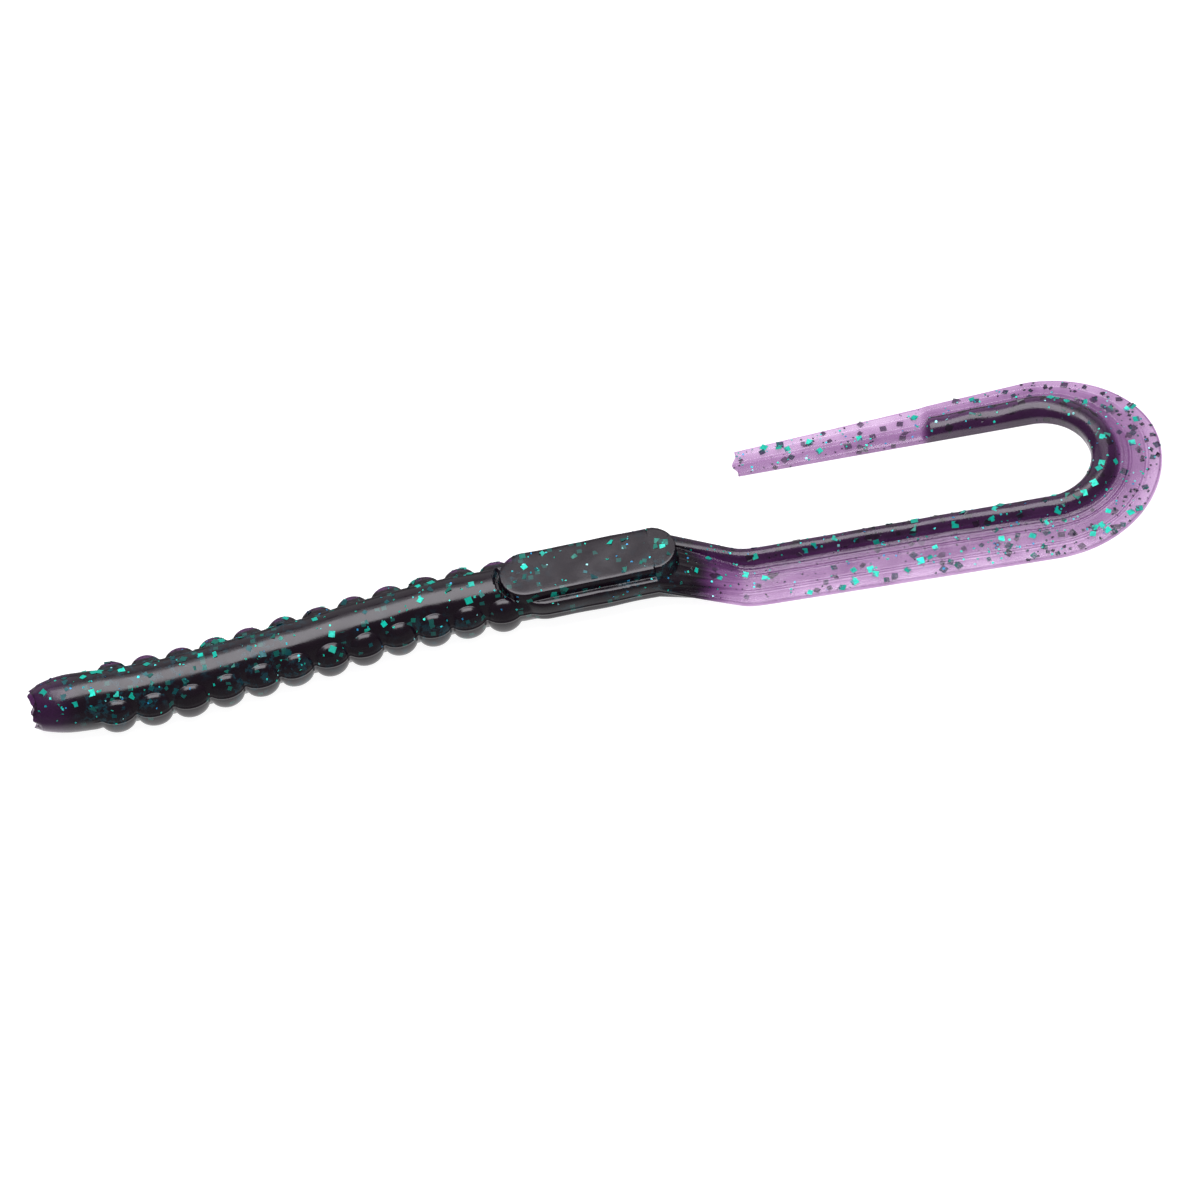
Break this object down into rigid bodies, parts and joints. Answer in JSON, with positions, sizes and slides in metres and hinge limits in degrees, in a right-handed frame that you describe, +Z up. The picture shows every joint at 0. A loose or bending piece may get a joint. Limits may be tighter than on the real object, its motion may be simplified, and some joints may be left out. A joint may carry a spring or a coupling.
{
  "type": "soft plastic fishing worm",
  "caption": "Soft plastic fishing worm with a beaded round body, a flat oval pad and a ribbed ribbon tail folded into a U, with glitter flakes.",
  "frame": {"origin": "centre of the blunt nose face, on the axis of the round body", "axes": "+X from the nose towards the tail, +Z up from the surface that the worm lies flat on"},
  "size_m": [0.1729, 0.0413, 0.0088],
  "materials": {
    "body_plastic": "gloss",
    "nose_plastic": "gloss",
    "rib_plastic": "gloss",
    "web_plastic": "gloss",
    "glitter": "gloss"
  },
  "bodies": {
    "front_body": {"nose": "nose_plastic", "front_core": "body_plastic", "front_left_beads": "body_plastic", "front_right_beads": "body_plastic", "front_glitter": "glitter"},
    "middle_body": {"middle_core": "body_plastic", "middle_left_beads": "body_plastic", "middle_right_beads": "body_plastic", "middle_glitter": "glitter"},
    "rear_body": {"rear_core": "body_plastic", "rear_left_beads": "body_plastic", "rear_right_beads": "body_plastic", "rear_glitter": "glitter", "label_pad": "body_plastic", "pad_glitter": "glitter", "pad_shoulder": "body_plastic", "tail_ramp": "body_plastic", "tail_root_rib": "rib_plastic", "tail_root_web": "web_plastic"},
    "arm_front": {"arm_front_rib": "rib_plastic", "arm_front_web": "web_plastic", "arm_front_glitter": "glitter"},
    "arm_rear": {"arm_rear_rib": "rib_plastic", "arm_rear_web": "web_plastic", "arm_rear_glitter": "glitter"},
    "bend_far": {"bend_far_rib": "rib_plastic", "bend_far_web": "web_plastic", "bend_far_glitter": "glitter"},
    "return_arm": {"return_arm_rib": "rib_plastic", "return_arm_web": "web_plastic", "return_arm_glitter": "glitter"},
    "tip": {"tip_web": "web_plastic", "tip_glitter": "glitter"}
  },
  "joints": [
    {"name": "body_lift", "type": "hinge", "parent": "front_body", "child": "middle_body", "pos_m": [0.03856, 0.00326, 0], "axis": [0.1736, -0.9848, 0], "range_deg": [-40, 40], "stiffness_Nm_per_rad": 0.004},
    {"name": "body_swing", "type": "hinge", "parent": "middle_body", "child": "rear_body", "pos_m": [0.05983, 0.00701, 0], "axis": [0, 0, 1], "range_deg": [-35, 35], "stiffness_Nm_per_rad": 0.004},
    {"name": "tail_root_lift", "type": "hinge", "parent": "rear_body", "child": "arm_front", "pos_m": [0.1133, 0.0075, -0.003], "axis": [0, -1, 0], "range_deg": [-60, 60], "stiffness_Nm_per_rad": 0.0008},
    {"name": "tail_mid_lift", "type": "hinge", "parent": "arm_front", "child": "arm_rear", "pos_m": [0.132, 0.0075, -0.003], "axis": [0, -1, 0], "range_deg": [-60, 60], "stiffness_Nm_per_rad": 0.0006},
    {"name": "bend_open", "type": "hinge", "parent": "arm_rear", "child": "bend_far", "pos_m": [0.1676, 0.0205, -0.0044], "axis": [0, 0, -1], "range_deg": [-6, 35], "stiffness_Nm_per_rad": 0.0008},
    {"name": "return_lift", "type": "hinge", "parent": "bend_far", "child": "return_arm", "pos_m": [0.146, 0.0282, -0.003], "axis": [0, 1, 0], "range_deg": [-60, 60], "stiffness_Nm_per_rad": 0.0003},
    {"name": "tip_lift", "type": "hinge", "parent": "return_arm", "child": "tip", "pos_m": [0.127, 0.0282, -0.0037], "axis": [0, 1, 0], "range_deg": [-60, 60], "stiffness_Nm_per_rad": 0.0001}
  ]
}
